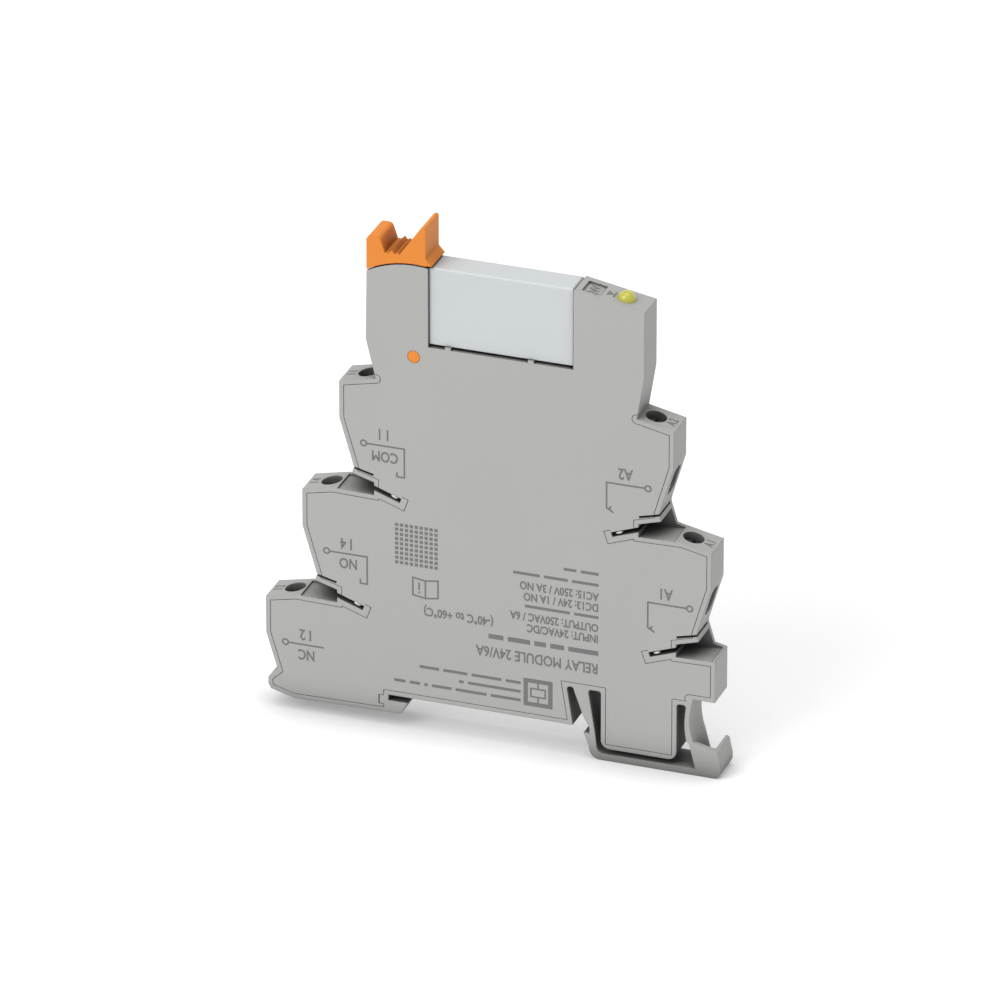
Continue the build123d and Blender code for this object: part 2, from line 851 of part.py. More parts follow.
def current_bar(name):
    """Bent bar from a clamp to the socket or the board, with a tongue to the bridge slot."""
    back, front = riser_sides[name]
    with BuildPart() as bar:
        extrude(strip(clamp_way(name), bar_thick, bar_half), amount=2 * bar_half)
        extrude(strip(risers[name], bar_thick, back), amount=back - front)
        if name in bridged:
            extrude(strip(tongue_way(name), bar_thick, bar_half), amount=bar_half + tongue_reach)
    return bar


# Socket for the relay's pins
all_pins = contact_pins + coil_pins
cavity_half = 1.15
cavity_top = 63.4
cavity_deep = 2.8
pin_play = 0.3
contact_foot = (1.8, 2.6, 1.0)
contact_tail = (0.8, 2.1, 2.5)
tail_back = 0.45
prong = (0.4, 1.8, 5.6)
with BuildPart() as relay_socket:
    socket_half = inner - fit_gap
    socket_block = block(socket_left, socket_right, socket_floor, socket_top, socket_half)
    extrude(socket_block, amount=2 * socket_half)
    with Locations(*[(x, 0, socket_floor) for x in all_pins]):
        cavity_high = cavity_top - socket_floor
        Box(2 * cavity_half, cavity_deep, cavity_high, align=on_base, mode=Mode.SUBTRACT)
        pin_way = (pin_thick + pin_play, 2 * pin_half + pin_play, 2 * cavity_high)
        Box(*pin_way, align=on_base, mode=Mode.SUBTRACT)


def socket_contact(x, tailed):
    """Two-pronged contact that grips one relay pin."""
    prong_gap = pin_thick / 2 + fit_gap
    with BuildPart() as contact:
        with Locations((x, 0, socket_floor)):
            Box(*contact_foot, align=on_base)
            if tailed:
                with Locations((0, tail_back, -contact_tail[2])):
                    Box(*contact_tail, align=on_base)
        for side in (-1, 1):
            with Locations((x + side * (prong_gap + prong[0] / 2), 0, socket_floor)):
                Box(*prong, align=on_base)
    return contact


# Relay: base, case and pins
with BuildPart() as relay_case:
    extrude(block(relay_left, relay_right, relay_floor, relay_top, relay_thick / 2), amount=relay_thick)
    chamfer(relay_case.faces().sort_by(Axis.Z)[-1].edges(), case_chamfer)
    extrude(
        block(
            relay_left + case_wall,
            relay_right - case_wall,
            relay_floor,
            relay_top - case_wall,
            relay_thick / 2 - case_wall,
        ),
        amount=relay_thick - 2 * case_wall,
        mode=Mode.SUBTRACT,
    )
base_top = relay_floor + base_h
with BuildPart() as relay_base:
    base_side = relay_thick / 2 - case_wall - fit_gap
    base_left = relay_left + case_wall + fit_gap
    base_right = relay_right - case_wall - fit_gap
    extrude(block(base_left, base_right, relay_floor, base_top, base_side), amount=2 * base_side)
    with Locations(*[(x, 0, relay_floor) for x in all_pins]):
        Box(pin_thick + pin_fit, 2 * pin_half + pin_fit, 3 * base_h, mode=Mode.SUBTRACT)


def relay_pin(x, top):
    """Straight flat pin through the relay's base."""
    with BuildPart() as pin:
        with Locations((x, 0, pin_floor)):
            Box(pin_thick, 2 * pin_half, top - pin_floor, align=on_base)
    return pin


# Coil, core and yoke
along_x = Plane((coil_left, 0, coil_z), x_dir=(0, 1, 0), z_dir=(1, 0, 0))
coil_long = coil_right - coil_left
with BuildPart() as coil_bobbin:
    with BuildSketch(along_x, along_x.offset(coil_long - flange_t)):
        Rectangle(2 * flange_half, 2 * flange_h)
    extrude(amount=flange_t)
    with BuildSketch(along_x):
        RectangleRounded(2 * tube_half, 2 * tube_h, 0.7 * tube_h)
    extrude(amount=coil_long)
    with Locations(along_x.location):
        Cylinder(core_r + core_fit, coil_long, align=on_base, mode=Mode.SUBTRACT)
with BuildPart() as coil_winding:
    with BuildSketch(along_x.offset(flange_t + winding_fit)):
        RectangleRounded(2 * winding_half, 2 * winding_h, 0.9 * tube_h)
        bore = 2 * (tube_half + winding_fit)
        RectangleRounded(bore, 2 * (tube_h + winding_fit), 0.7 * tube_h, mode=Mode.SUBTRACT)
    extrude(amount=coil_long - 2 * (flange_t + winding_fit))
pole_x = coil_left - pole_t - winding_fit
yoke_inner = coil_right + yoke_play
with BuildPart() as coil_core:
    with Locations(along_x.offset(pole_x - coil_left).location):
        Cylinder(pole_r, pole_t, align=on_base)
        Cylinder(core_r, yoke_inner - pole_x, align=on_base)
with BuildPart() as relay_yoke:
    yoke_back = yoke_inner + yoke_t
    edge = [
        (pole_x - yoke_lap, yoke_z),
        (yoke_inner, yoke_z),
        (yoke_inner, yoke_low),
        (yoke_back, yoke_low),
        (yoke_back, yoke_z + yoke_t),
        (pole_x - yoke_lap, yoke_z + yoke_t),
    ]
    extrude(outline(edge, yoke_half), amount=2 * yoke_half)

# Armature with the card that pushes the common spring
armature_right = pole_x - pole_gap
armature_left = armature_right - armature_t
with BuildPart() as armature:
    edge = block(armature_left, armature_right, armature_low, armature_top, armature_half)
    extrude(edge, amount=2 * armature_half)
with BuildPart() as pusher_card:
    card_left = com_pin_x + spring_t / 2 + fit_gap
    card = block(card_left, armature_left, card_low, armature_top, yoke_half)
    extrude(card, amount=card_deep)

# Contacts: the moving common spring between the closed and the open contact
rivet_y = -0.9
contact_reach = 0.5
rest_gap = 0.03
open_gap = 0.24
spring_foot = 0.1
strip_back = 0.2
strip_wide = 2.2
rivet_seat = 0.1
with BuildPart() as common_spring:
    way = [(com_pin_x, base_top + spring_foot), (com_pin_x, spring_top)]
    extrude(strip(way, spring_t, yoke_half), amount=2 * yoke_half)
    with Locations(Plane((com_pin_x - contact_reach, rivet_y, rivet_z), z_dir=(1, 0, 0)).location):
        Cylinder(rivet_r, 2 * contact_reach, align=on_base)


def fixed_contact(pin_x, turn_x, rivet_left):
    """Fixed contact: pin, strip that leans to the rivet's place, and rivet."""
    with BuildPart() as contact:
        way = [(pin_x, base_top), (pin_x, lean_low), (turn_x, lean_high), (turn_x, contact_top)]
        extrude(strip(way, spring_t, strip_back), amount=strip_wide)
        with Locations((pin_x, 0, pin_floor)):
            Box(pin_thick, 2 * pin_half, base_top - pin_floor, align=on_base)
        with Locations(Plane((rivet_left, rivet_y, rivet_z), z_dir=(1, 0, 0)).location):
            Cylinder(rivet_r, contact_reach, align=on_base)
    return contact


no_face = com_pin_x - contact_reach - open_gap
nc_face = com_pin_x + contact_reach + rest_gap
open_contact = fixed_contact(no_pin_x, no_face - contact_reach - rivet_seat, no_face - contact_reach)
closed_contact = fixed_contact(nc_pin_x, nc_face + contact_reach + rivet_seat, nc_face)

pieces = {
    "housing": housing,
    "side_cover": side_cover,
    "lever": lever,
    "light_guide": light_guide,
    "circuit_board": circuit_board,
    "indicator_light": indicator,
    "rectifier": rectifier,
    "capacitor": capacitor,
    "flyback_diode": flyback_diode,
    "series_resistor": series_resistor,
    "shunt_resistor": shunt_resistor,
    "relay_socket": relay_socket,
    "socket_contact_no": socket_contact(no_pin_x, False),
    "socket_contact_com": socket_contact(com_pin_x, False),
    "socket_contact_nc": socket_contact(nc_pin_x, False),
    "socket_contact_coil_1": socket_contact(coil_pins[0], True),
    "socket_contact_coil_2": socket_contact(coil_pins[1], True),
    "relay_case": relay_case,
    "relay_base": relay_base,
    "coil_pin_1": relay_pin(coil_pins[0], base_top + pin_rise),
    "coil_pin_2": relay_pin(coil_pins[1], base_top + pin_rise),
    "common_pin": relay_pin(com_pin_x, base_top),
    "coil_bobbin": coil_bobbin,
    "coil_winding": coil_winding,
    "coil_core": coil_core,
    "relay_yoke": relay_yoke,
    "armature": armature,
    "pusher_card": pusher_card,
    "common_spring": common_spring,
    "open_contact": open_contact,
    "closed_contact": closed_contact,
}
for name in terminals:
    pieces["clamp_cage_" + name] = clamp_cage(name)
    pieces["clamp_screw_" + name] = clamp_screw(name)
    pieces["current_bar_" + name] = current_bar(name)
for name, piece in pieces.items():
    piece.part.label = name
    export_step(piece.part, f"parts/{name}.step")
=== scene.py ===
from math import cos, pi, radians, sin

import bmesh
import bpy
from mathutils import Matrix, Vector


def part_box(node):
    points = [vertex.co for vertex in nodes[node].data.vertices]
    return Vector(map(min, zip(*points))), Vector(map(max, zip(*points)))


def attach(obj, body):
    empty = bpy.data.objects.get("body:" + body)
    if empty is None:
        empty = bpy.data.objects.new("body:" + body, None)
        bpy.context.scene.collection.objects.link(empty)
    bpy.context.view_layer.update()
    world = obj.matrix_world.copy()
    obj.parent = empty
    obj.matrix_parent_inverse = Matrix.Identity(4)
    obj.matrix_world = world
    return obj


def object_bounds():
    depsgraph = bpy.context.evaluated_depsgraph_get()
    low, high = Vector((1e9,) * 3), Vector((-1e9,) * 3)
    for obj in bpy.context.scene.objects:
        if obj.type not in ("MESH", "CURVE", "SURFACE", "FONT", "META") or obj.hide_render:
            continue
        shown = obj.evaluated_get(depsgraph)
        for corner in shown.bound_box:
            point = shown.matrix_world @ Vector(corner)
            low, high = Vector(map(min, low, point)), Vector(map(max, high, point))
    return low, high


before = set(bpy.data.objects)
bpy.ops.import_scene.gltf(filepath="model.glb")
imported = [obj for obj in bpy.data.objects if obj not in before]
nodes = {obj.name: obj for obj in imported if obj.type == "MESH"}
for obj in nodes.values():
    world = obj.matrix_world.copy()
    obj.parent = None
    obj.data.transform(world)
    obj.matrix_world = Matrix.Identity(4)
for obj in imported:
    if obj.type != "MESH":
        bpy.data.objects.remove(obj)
cad_box = [list(corner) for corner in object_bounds()]

# Lengths are written in millimetres and turned into metres with MM
MM = 0.001

# Colours as they stand in linear light
HOUSING_GREY = (0.445, 0.445, 0.432)
RELAY_GREY = (0.615, 0.645, 0.655)
LEVER_ORANGE = (0.84, 0.28, 0.052)
GUIDE_YELLOW = (0.54, 0.53, 0.045)
PRINT_GREY = (0.175, 0.175, 0.175)
SCREW_STEEL = (0.26, 0.26, 0.27)
BOARD_GREEN = (0.02, 0.12, 0.05)
CHIP_BLACK = (0.02, 0.02, 0.022)
CERAMIC_TAN = (0.48, 0.33, 0.19)
INNER_GREY = (0.10, 0.10, 0.105)
STEEL = (0.56, 0.56, 0.55)
COPPER = (0.72, 0.33, 0.16)
TINNED = (0.72, 0.66, 0.52)
SILVER = (0.60, 0.59, 0.57)
LIGHT_CHIP = (0.80, 0.76, 0.50)


# Materials

# Reach and spread of the painted shade that darkens plastic colour in hollows, gaps and creases
painted_shade_reach = 7.0 * MM
painted_shade_from, painted_shade_to = 0.28, 0.88
ray_samples = 6
cloud_scale, cloud_stretch = 55.0, (1, 1, 0.6)
grain_tone = (0.485, 0.515)
cloud_tone = (0.49, 0.51)
dull_below, dull_above = 0.05, 0.07
plastic_ior = 1.5
scatter_reach = 0.6 * MM
scatter_colours = (1.0, 0.6, 0.3)
dent_radius = 1.9 * MM
dent_soft = 0.2 * MM
dent_depth = 0.12 * MM
tarnish_scale = 260.0
line_tone = (0.46, 0.54)
tarnish_tone = (0.42, 0.54)
tarnish_dulls = 0.10
metal_relief = 0.003 * MM
metal_edge = 0.06 * MM
wire_pitch = 0.9 * MM
wire_relief = 0.03 * MM
wire_edge = 0.05 * MM
wire_tone = (0.55, 1.0)
guide_cloud_scale = 900.0
guide_tone = (0.92, 1.06)
guide_ior = 1.49
guide_glow = (0.9, 0.85, 0.05, 1)


def new_material(name):
    """An empty material with its shader, output, and a place texture in object space."""
    material = bpy.data.materials.new(name)
    material.use_nodes = True
    tree = material.node_tree
    shader = tree.nodes["Principled BSDF"]
    place = tree.nodes.new("ShaderNodeTexCoord")
    return material, tree, shader, place


def noise(tree, place, scale, detail=2.0, stretch=(1, 1, 1)):
    """Noise in object space, with a scale per metre, stretched along the axes."""
    mapping = tree.nodes.new("ShaderNodeMapping")
    mapping.inputs["Scale"].default_value = stretch
    tree.links.new(place.outputs["Object"], mapping.inputs["Vector"])
    texture = tree.nodes.new("ShaderNodeTexNoise")
    texture.inputs["Scale"].default_value = scale
    texture.inputs["Detail"].default_value = detail
    tree.links.new(mapping.outputs["Vector"], texture.inputs["Vector"])
    return texture.outputs["Fac"]


def ramp(tree, value, low, high, from_min=0.3, from_max=0.7):
    """A value spread over a narrower range."""
    spread = tree.nodes.new("ShaderNodeMapRange")
    spread.inputs["From Min"].default_value = from_min
    spread.inputs["From Max"].default_value = from_max
    spread.inputs["To Min"].default_value = low
    spread.inputs["To Max"].default_value = high
    tree.links.new(value, spread.inputs["Value"])
    return spread.outputs["Result"]


def shaded(tree, shader, colour, variation):
    """Base colour that varies a little with a value around one."""
    mix = tree.nodes.new("ShaderNodeVectorMath")
    mix.operation = "SCALE"
    mix.inputs[0].default_value = colour
    tree.links.new(variation, mix.inputs["Scale"])
    tree.links.new(mix.outputs["Vector"], shader.inputs["Base Color"])


def bumped(tree, shader, height, depth, edge):
    """Fine relief over a softened edge."""
    soft = tree.nodes.new("ShaderNodeBevel")
    soft.inputs["Radius"].default_value = edge
    soft.samples = ray_samples
    bump = tree.nodes.new("ShaderNodeBump")
    bump.inputs["Distance"].default_value = depth
    bump.inputs["Strength"].default_value = 1.0
    tree.links.new(height, bump.inputs["Height"])
    tree.links.new(soft.outputs["Normal"], bump.inputs["Normal"])
    tree.links.new(bump.outputs["Normal"], shader.inputs["Normal"])


def ejector_marks(tree, place, spots, radius):
    """Faint round dents that ejector pins leave, zero inside a dent and one outside."""
    level = None
    for spot in spots:
        away = tree.nodes.new("ShaderNodeVectorMath")
        away.operation = "DISTANCE"
        away.inputs[1].default_value = spot
        tree.links.new(place.outputs["Object"], away.inputs[0])
        step = ramp(tree, away.outputs["Value"], 0.0, 1.0, radius - dent_soft, radius + dent_soft)
        if level is None:
            level = step
            continue
        lower = tree.nodes.new("ShaderNodeMath")
        lower.operation = "MINIMUM"
        tree.links.new(level, lower.inputs[0])
        tree.links.new(step, lower.inputs[1])
        level = lower.outputs["Value"]
    return level


def moulded(
    name,
    colour,
    rough,
    grain_mm=0.16,
    depth_mm=0.004,
    edge_mm=0.16,
    subsurface=0.0,
    deepest_painted_shade=0.14,
    gloss=0.5,
    dents=(),
):
    """Moulded plastic: eroded grain, faint flow marks, softened edges, and painted shade in hollows.
    """
    material, tree, shader, place = new_material(name)
    grain = noise(tree, place, 1 / (grain_mm * MM), 3.0)
    clouds = noise(tree, place, cloud_scale, 2.0, cloud_stretch)
    add = tree.nodes.new("ShaderNodeMath")
    add.operation = "ADD"
    tree.links.new(ramp(tree, grain, *grain_tone), add.inputs[0])
    tree.links.new(ramp(tree, clouds, *cloud_tone), add.inputs[1])
    # Painted shade: ambient occlusion darkens the base colour in hollows, slots and gaps between
    # parts
    painted_shade_ao = tree.nodes.new("ShaderNodeAmbientOcclusion")
    painted_shade_ao.samples = ray_samples
    painted_shade_ao.inputs["Distance"].default_value = painted_shade_reach
    grain_and_painted_shade = tree.nodes.new("ShaderNodeMath")
    grain_and_painted_shade.operation = "MULTIPLY"
    tree.links.new(add.outputs["Value"], grain_and_painted_shade.inputs[0])
    painted_shade_factor = ramp(tree, painted_shade_ao.outputs["AO"], deepest_painted_shade, 1.0, painted_shade_from, painted_shade_to)
    tree.links.new(painted_shade_factor, grain_and_painted_shade.inputs[1])
    shaded(tree, shader, colour, grain_and_painted_shade.outputs["Value"])
    dullness = ramp(tree, grain, rough - dull_below, rough + dull_above)
    tree.links.new(dullness, shader.inputs["Roughness"])
    height = grain
    if dents:
        level = ejector_marks(tree, place, dents, dent_radius)
        both = tree.nodes.new("ShaderNodeMath")
        both.operation = "MULTIPLY_ADD"
        both.inputs[1].default_value = dent_depth / (depth_mm * MM)
        tree.links.new(level, both.inputs[0])
        tree.links.new(grain, both.inputs[2])
        height = both.outputs["Value"]
    bumped(tree, shader, height, depth_mm * MM, edge_mm * MM)
    shader.inputs["IOR"].default_value = plastic_ior
    shader.inputs["Specular IOR Level"].default_value = gloss
    if subsurface:
        shader.inputs["Subsurface Weight"].default_value = subsurface
        shader.inputs["Subsurface Scale"].default_value = scatter_reach
        shader.inputs["Subsurface Radius"].default_value = scatter_colours
    return material


def metal(name, colour, rough, stretch=(1, 1, 1), line_mm=0.2):
    """Sheet or turned metal with fine drawn lines and slight tarnish."""
    material, tree, shader, place = new_material(name)
    lines = noise(tree, place, 1 / (line_mm * MM), 2.0, stretch)
    tarnish = noise(tree, place, tarnish_scale, 3.0)
    add = tree.nodes.new("ShaderNodeMath")
    add.operation = "ADD"
    tree.links.new(ramp(tree, lines, *line_tone), add.inputs[0])
    tree.links.new(ramp(tree, tarnish, *tarnish_tone), add.inputs[1])
    shaded(tree, shader, colour, add.outputs["Value"])
    dullness = ramp(tree, tarnish, rough - dull_below, rough + tarnish_dulls)
    tree.links.new(dullness, shader.inputs["Roughness"])
    bumped(tree, shader, lines, metal_relief, metal_edge)
    shader.inputs["Metallic"].default_value = 1.0
    return material


def winding_wire(name):
    """Enamelled wire wound round the bobbin, turn by turn."""
    material, tree, shader, place = new_material(name)
    bands = tree.nodes.new("ShaderNodeTexWave")
    bands.bands_direction = "X"
    bands.inputs["Scale"].default_value = 1 / wire_pitch
    tree.links.new(place.outputs["Object"], bands.inputs["Vector"])
    shaded(tree, shader, COPPER, ramp(tree, bands.outputs["Fac"], *wire_tone, 0.0, 1.0))
    bumped(tree, shader, bands.outputs["Fac"], wire_relief, wire_edge)
    shader.inputs["Metallic"].default_value = 0.6
    shader.inputs["Roughness"].default_value = 0.3
    return material


def clear_guide(name):
    """Tinted clear moulding that glows a little with the lamp under it."""
    material, tree, shader, place = new_material(name)
    clouds = noise(tree, place, guide_cloud_scale, 2.0)
    shaded(tree, shader, GUIDE_YELLOW, ramp(tree, clouds, *guide_tone))
    shader.inputs["Roughness"].default_value = 0.12
    shader.inputs["Transmission Weight"].default_value = 0.25
    shader.inputs["Coat Weight"].default_value = 0.5
    shader.inputs["Coat Roughness"].default_value = 0.05
    shader.inputs["IOR"].default_value = guide_ior
    shader.inputs["Emission Color"].default_value = guide_glow
    shader.inputs["Emission Strength"].default_value = 0.10
    return material


back_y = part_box("housing")[1].y
dent_places = (
    (-27.0, 6.0),
    (27.5, 5.0),
    (3.0, 9.0),
    (-14.0, 33.0),
    (20.0, 33.0),
    (3.0, 52.0),
    (20.5, 68.0),
)
dents = [(x * MM, back_y, z * MM) for x, z in dent_places]
housing_plastic = moulded("housing_plastic", HOUSING_GREY, 0.58, edge_mm=0.3, gloss=0.25, dents=dents)
cover_plastic = moulded("cover_plastic", HOUSING_GREY, 0.60, edge_mm=0.16, gloss=0.35)
relay_plastic = moulded(
    "relay_plastic",
    RELAY_GREY,
    0.42,
    grain_mm=0.1,
    depth_mm=0.002,
    edge_mm=0.12,
    subsurface=0.1,
    gloss=0.4,
)
lever_plastic = moulded(
    "lever_plastic",
    LEVER_ORANGE,
    0.45,
    grain_mm=0.12,
    depth_mm=0.002,
    edge_mm=0.25,
    gloss=0.1,
)
inner_plastic = moulded("inner_plastic", INNER_GREY, 0.5)
chip_plastic = moulded("chip_plastic", CHIP_BLACK, 0.5, grain_mm=0.08, depth_mm=0.003, edge_mm=0.08)
light_chip = moulded("light_chip", LIGHT_CHIP, 0.3, grain_mm=0.08, depth_mm=0.001, edge_mm=0.08)
tan_ceramic = moulded("tan_ceramic", CERAMIC_TAN, 0.45, grain_mm=0.1, depth_mm=0.002, edge_mm=0.1)
board_mask = moulded("board_mask", BOARD_GREEN, 0.3, grain_mm=0.5, edge_mm=0.03)
steel = metal("plated_steel", STEEL, 0.34, (1, 1, 5))
screw_steel = metal("screw_steel", SCREW_STEEL, 0.38, (1, 1, 5))
soft_iron = metal("soft_iron", STEEL, 0.42, (5, 1, 1))
tinned = metal("tinned_metal", TINNED, 0.28, (1, 1, 6))
silver = metal("silver_contact", SILVER, 0.36)
wire = winding_wire("winding_wire")
guide = clear_guide("guide_clear")
ink = moulded("print_ink", PRINT_GREY, 0.55, grain_mm=0.08, depth_mm=0.0005, edge_mm=0.01)

node_materials = {
    "housing": housing_plastic,
    "side_cover": cover_plastic,
    "lever": lever_plastic,
    "light_guide": guide,
    "circuit_board": board_mask,
    "indicator_light": light_chip,
    "capacitor": tan_ceramic,
    "relay_case": relay_plastic,
    "coil_winding": wire,
    "relay_socket": inner_plastic,
    "relay_base": inner_plastic,
    "coil_bobbin": inner_plastic,
    "pusher_card": inner_plastic,
    "coil_core": soft_iron,
    "relay_yoke": soft_iron,
    "armature": soft_iron,
}


def material_of(name):
    """The finish of a CAD node, from its name."""
    if name in node_materials:
        return node_materials[name]
    if name.startswith("clamp_screw"):
        return screw_steel
    if name.startswith("clamp_cage"):
        return steel
    if name in ("rectifier", "flyback_diode", "series_resistor", "shunt_resistor"):
        return chip_plastic
    return tinned


for name, node in nodes.items():
    node.data.materials.clear()
    node.data.materials.append(material_of(name))


# Print on the front face, which reads upside down as the module stands

front_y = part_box("side_cover")[0].y
print_lift = 0.012 * MM
print_thick = 0.008 * MM
line_wide = 0.28 * MM
overprint = 0.004 * MM
type_body = 1.4
condensed = 0.76
stroke_gain = 0.035 * MM
wide_set = 1.3
ring_radius = 0.5
ring_segments = 24
stroke_gap = 0.75
arrow_shape = ((0, 0.6), (-0.5, 0.1), (0.4, -0.4))
number_type, name_type = 2.0, 1.9
rating_type, range_type, title_type = 1.45, 1.6, 1.9
coil_inset, coil_lead = 0.9, 1.4
half_turned = Matrix(((-1, 0, 0), (0, 0, -1), (0, -1, 0)))


def mesh_piece(name, bm, material):
    """A finished piece from a bmesh, which rides on the module."""
    bmesh.ops.recalc_face_normals(bm, faces=bm.faces)
    mesh = bpy.data.meshes.new(name)
    bm.to_mesh(mesh)
    bm.free()
    mesh.materials.append(material)
    piece = bpy.data.objects.new(name, mesh)
    bpy.context.scene.collection.objects.link(piece)
    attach(piece, "module")


def on_face(x, z):
    """A point of the printed face, from X and Z in millimetres."""
    return Vector((x * MM, front_y - print_lift, z * MM))


def printed_word(name, word, place, turned, high, align="CENTER", spacing=1.0):
    """A word of ink at a place, high in millimetres, turned by a 3 by 3 matrix."""
    curve = bpy.data.curves.new(name, "FONT")
    curve.body = word
    curve.size = high * type_body * MM
    curve.align_x = align
    curve.align_y = "CENTER"
    curve.space_character = spacing
    curve.resolution_u = 3
    curve.bevel_depth = stroke_gain
    curve.bevel_resolution = 0
    curve.extrude = print_thick / 2
    curve.materials.append(ink)
    piece = bpy.data.objects.new(name, curve)
    bpy.context.scene.collection.objects.link(piece)
    narrow = Matrix.Diagonal((condensed, 1, 1, 1))
    piece.matrix_world = Matrix.Translation(place) @ turned.to_4x4() @ narrow
    bpy.context.view_layer.update()
    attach(piece, "module")


def add_bar(bm, start, end, wide):
    """A flat bar of ink between two points of the face."""
    along = (end - start).normalized()
    across = along.cross(Vector((0, 1, 0))) * wide / 2
    corners = [start - across, start + across, end + across, end - across]
    lift = Vector((0, -print_thick / 2, 0))
    low = [bm.verts.new(corner - lift) for corner in corners]
    high = [bm.verts.new(corner + lift) for corner in corners]
    bm.faces.new(high)
    bm.faces.new(low[::-1])
    for i in range(4):
        j = (i + 1) % 4
        bm.faces.new((low[i], low[j], high[j], high[i]))


def add_path(bm, points, wide=line_wide, closed=False, raised=0.0):
    """A ribbon of ink through the points, mitred at its corners."""
    spots = [on_face(*point) for point in points]
    count = len(spots)
    rows = []
    for i, spot in enumerate(spots):
        last, first = i == count - 1 and not closed, i == 0 and not closed
        behind = (spot - spots[i - 1]).normalized()
        ahead = behind if last else (spots[(i + 1) % count] - spot).normalized()
        behind = ahead if first else behind
        middle = (ahead + behind).normalized()
        side = middle.cross(Vector((0, 1, 0))) * wide / 2 / max(middle.dot(ahead), 0.5)
        low, high = [Vector((0, -print_thick * step - raised, 0)) for step in (-0.5, 0.5)]
        corners = (spot - side + low, spot + side + low, spot + side + high, spot - side + high)
        rows.append([bm.verts.new(corner) for corner in corners])
    pairs = list(zip(rows, rows[1:]))
    if closed:
        pairs.append((rows[-1], rows[0]))
    else:
        bm.faces.new(rows[0])
        bm.faces.new(rows[-1][::-1])
    for near_row, far_row in pairs:
        for i in range(4):
            j = (i + 1) % 4
            bm.faces.new((near_row[i], far_row[i], far_row[j], near_row[j]))


def add_ring(bm, middle, radius, wide):
    """A ring of ink."""
    turns = [2 * pi * i / ring_segments for i in range(ring_segments)]
    rows = []
    for r in (radius - wide / 2, radius + wide / 2):
        for lift in (-print_thick / 2, print_thick / 2):
            points = [middle + Vector((r * cos(turn), lift, r * sin(turn))) for turn in turns]
            rows.append([bm.verts.new(point) for point in points])
    inner_low, inner_high, outer_low, outer_high = rows
    pairs = ((inner_low, outer_low), (outer_low, outer_high))
    pairs += ((outer_high, inner_high), (inner_high, inner_low))
    for a, b in pairs:
        for i in range(ring_segments):
            j = (i + 1) % ring_segments
            bm.faces.new((a[i], a[j], b[j], b[i]))


def contact_symbol(name, circle, corners, arrow=False):
    """Terminal circle, its lead, and the contact's arm or the coil's arrow."""
    bm = bmesh.new()
    add_ring(bm, on_face(*circle), ring_radius * MM, line_wide)
    side = 1 if corners[0][0] > circle[0] else -1
    lead_start = circle[0] + side * (ring_radius + line_wide / MM / 2)
    add_path(bm, [(lead_start, circle[1]), *corners])
    if arrow:
        tip_x, tip_z = corners[-1]
        add_path(bm, [(tip_x + x, tip_z + z) for x, z in arrow_shape], raised=overprint)
    mesh_piece(name, bm, ink)


printed_words = {
    "print_11": ("11", -18.2, 47.7, number_type),
    "print_com": ("COM", -18.0, 43.7, name_type),
    "print_14": ("14", -24.7, 26.7, number_type),
    "print_no": ("NO", -24.5, 23.1, name_type),
    "print_12": ("12", -32.0, 8.6, number_type),
    "print_nc": ("NC", -32.0, 4.9, name_type),
    "print_a2": ("A2", 23.6, 47.4, number_type),
    "print_a1": ("A1", 30.6, 26.8, number_type),
}
for name, (word, x, z, high) in printed_words.items():
    spacing = wide_set if word.isdigit() else 1.0
    printed_word(name, word, on_face(x, z), half_turned, high, spacing=spacing)

contact_symbol(
    "symbol_11",
    (-21.7, 45.6),
    [(-14.6, 45.6), (-14.6, 40.4), (-15.9, 40.4), (-15.9, 41.2)],
)
contact_symbol(
    "symbol_14",
    (-28.3, 24.8),
    [(-21.2, 24.8), (-21.2, 19.8), (-22.4, 19.8), (-22.4, 20.6)],
)
contact_symbol("symbol_12", (-35.7, 6.7), [(-28.9, 6.7)])
contact_symbol(
    "symbol_a2",
    (27.5, 45.4),
    [(20.4, 45.4), (20.4, 40.8), (21.2, 40.5)],
    arrow=True,
)
contact_symbol(
    "symbol_a1",
    (34.8, 24.8),
    [(27.6, 24.8), (27.6, 20.2), (28.4, 19.9)],
    arrow=True,
)

# Generic ratings and rows of plain strokes
rating_left = 19.1
rating_rows = {
    "rating_1": ("AC15: 250V / 3A NO", rating_left, 24.3, rating_type),
    "rating_2": ("DC13: 24V / 1A NO", rating_left, 22.3, rating_type),
    "rating_3": ("OUTPUT: 250VAC / 6A", rating_left, 18.6, rating_type),
    "rating_4": ("INPUT: 24VAC/DC", rating_left, 16.6, rating_type),
    "rating_5": ("(-40\u00b0C to +60\u00b0C)", 0.9, 16.6, range_type),
    "rating_6": ("RELAY MODULE 24V/6A", rating_left, 11.1, title_type),
}
for name, (word, x, z, high) in rating_rows.items():
    printed_word(name, word, on_face(x, z), half_turned, high, "LEFT")


def plain_row(bm, x, z, lengths, high):
    """A row of plain strokes of the given lengths, from x towards -X."""
    for long in lengths:
        start, end = on_face(x, z), on_face(x - long, z)
        add_bar(bm, start, end, high * MM)
        x -= long + stroke_gap


fine_stroke, bold_stroke, foot_left = 0.5, 0.85, 5.6
stroke_rows = (
    (rating_left, 28.4, (3.1, 2.2), fine_stroke),
    (rating_left, 26.4, (4.6, 4.1, 4.6), fine_stroke),
    (rating_left, 20.5, (4.2, 7.8), fine_stroke),
    (rating_left, 13.9, (5.2, 2.4, 2.0, 3.9, 2.6), bold_stroke),
    (foot_left, 6.2, (2.6, 5.2, 4.2, 3.4), fine_stroke),
    (foot_left, 4.6, (9.2, 0.8), fine_stroke),
    (foot_left, 3.0, (5.2, 5.4, 3.4, 0.6, 1.8, 2.0), fine_stroke),
)
bm = bmesh.new()
for row in stroke_rows:
    plain_row(bm, *row)
mesh_piece("plain_rows", bm, ink)

# Evenly dotted square, open book, and a frame with a coil's symbol


